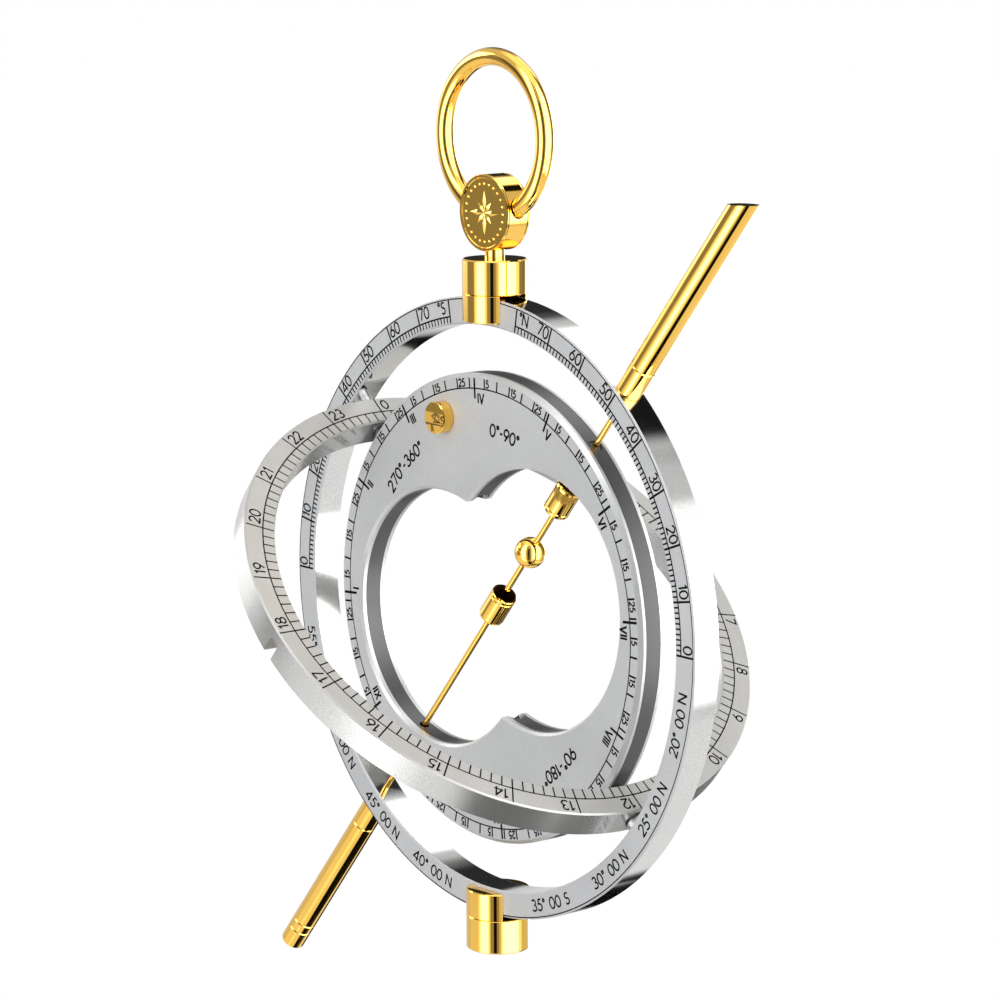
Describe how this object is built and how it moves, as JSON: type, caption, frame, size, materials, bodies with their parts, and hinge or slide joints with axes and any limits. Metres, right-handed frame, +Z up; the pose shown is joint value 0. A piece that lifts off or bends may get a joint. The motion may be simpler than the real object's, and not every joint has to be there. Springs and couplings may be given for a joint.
{
  "type": "universal equinoctial ring dial",
  "caption": "Hanging ring sundial: graduated meridian ring with a polar axis, folding hour ring, date disc turning on the axis needle, sliding bead and cups, swivel suspension.",
  "frame": {"origin": "the hang point: the top of the inside of the suspension ring, where a finger or hook carries the dial", "axes": "+Z up; the meridian ring lies in the XZ plane with its graduated front face toward -Y; +X is the side the upper end of the polar axis leans to"},
  "size_m": [0.1372, 0.1022, 0.1832],
  "materials": {
    "gold_plate": "polished gold plate",
    "dial_steel": "fine matt ground faces, polished edges",
    "pivot_steel": "turned"
  },
  "bodies": {
    "suspension_ring": {"suspension_ring": "gold_plate"},
    "eye": {"swivel_eye": "gold_plate", "medallion_front": "gold_plate", "medallion_back": "gold_plate", "swivel_stem": "gold_plate"},
    "top_clamp": {"top_cap": "gold_plate", "top_jaw_front": "gold_plate", "top_jaw_back": "gold_plate"},
    "meridian": {"meridian_ring": "dial_steel", "polar_needle": "gold_plate", "upper_collar": "gold_plate", "upper_rod": "gold_plate", "lower_collar": "gold_plate", "lower_rod": "gold_plate", "lower_tip": "gold_plate", "pivot_0h": "pivot_steel", "pivot_12h": "pivot_steel"},
    "hour_ring": {"hour_ring": "dial_steel", "hour_bush_0h": "pivot_steel", "hour_bush_12h": "pivot_steel"},
    "date_disc": {"date_disc": "dial_steel", "disc_bush_upper": "gold_plate", "disc_bush_lower": "gold_plate"},
    "noon_knob": {"noon_knob": "gold_plate"},
    "bead": {"nodus_bead": "gold_plate"},
    "lower_cup": {"lower_cup": "gold_plate"},
    "upper_cup": {"upper_cup": "gold_plate"},
    "foot_clamp": {"foot_cap": "gold_plate", "foot_jaw_front": "gold_plate", "foot_jaw_back": "gold_plate"}
  },
  "joints": [
    {"name": "ring_swing", "type": "hinge", "parent": "suspension_ring", "child": "eye", "pos_m": [0, 0, -0.01275], "axis": [0, 1, 0], "range_deg": [-75, 75]},
    {"name": "swivel", "type": "hinge", "parent": "eye", "child": "top_clamp", "pos_m": [0, 0, -0.03495], "axis": [0, 0, 1], "continuous": true},
    {"name": "latitude_slide", "type": "hinge", "parent": "top_clamp", "child": "meridian", "pos_m": [0, 0, -0.09995], "axis": [0, -1, 0], "range_deg": [-50, 22]},
    {"name": "foot_slide", "type": "hinge", "parent": "meridian", "child": "foot_clamp", "pos_m": [0, 0, -0.09995], "axis": [0, -1, 0], "range_deg": [-30, 30]},
    {"name": "hour_fold", "type": "hinge", "parent": "meridian", "child": "hour_ring", "pos_m": [0, 0, -0.09995], "axis": [0.766, 0, -0.6428], "range_deg": [0, 90]},
    {"name": "date_turn", "type": "hinge", "parent": "meridian", "child": "date_disc", "pos_m": [0, 0, -0.09995], "axis": [0.6428, 0, 0.766], "continuous": true},
    {"name": "knob_turn", "type": "hinge", "parent": "date_disc", "child": "noon_knob", "pos_m": [-0.01155, -0.003, -0.06522], "axis": [0, -1, 0], "continuous": true},
    {"name": "bead_slide", "type": "slide", "parent": "meridian", "child": "bead", "axis": [0.6428, 0, 0.766], "range_m": [-0.009, 0.009]},
    {"name": "lower_cup_slide", "type": "slide", "parent": "meridian", "child": "lower_cup", "axis": [0.6428, 0, 0.766], "range_m": [-0.03, 0]},
    {"name": "upper_cup_slide", "type": "slide", "parent": "meridian", "child": "upper_cup", "axis": [0.6428, 0, 0.766], "range_m": [0, 0.0038]}
  ]
}
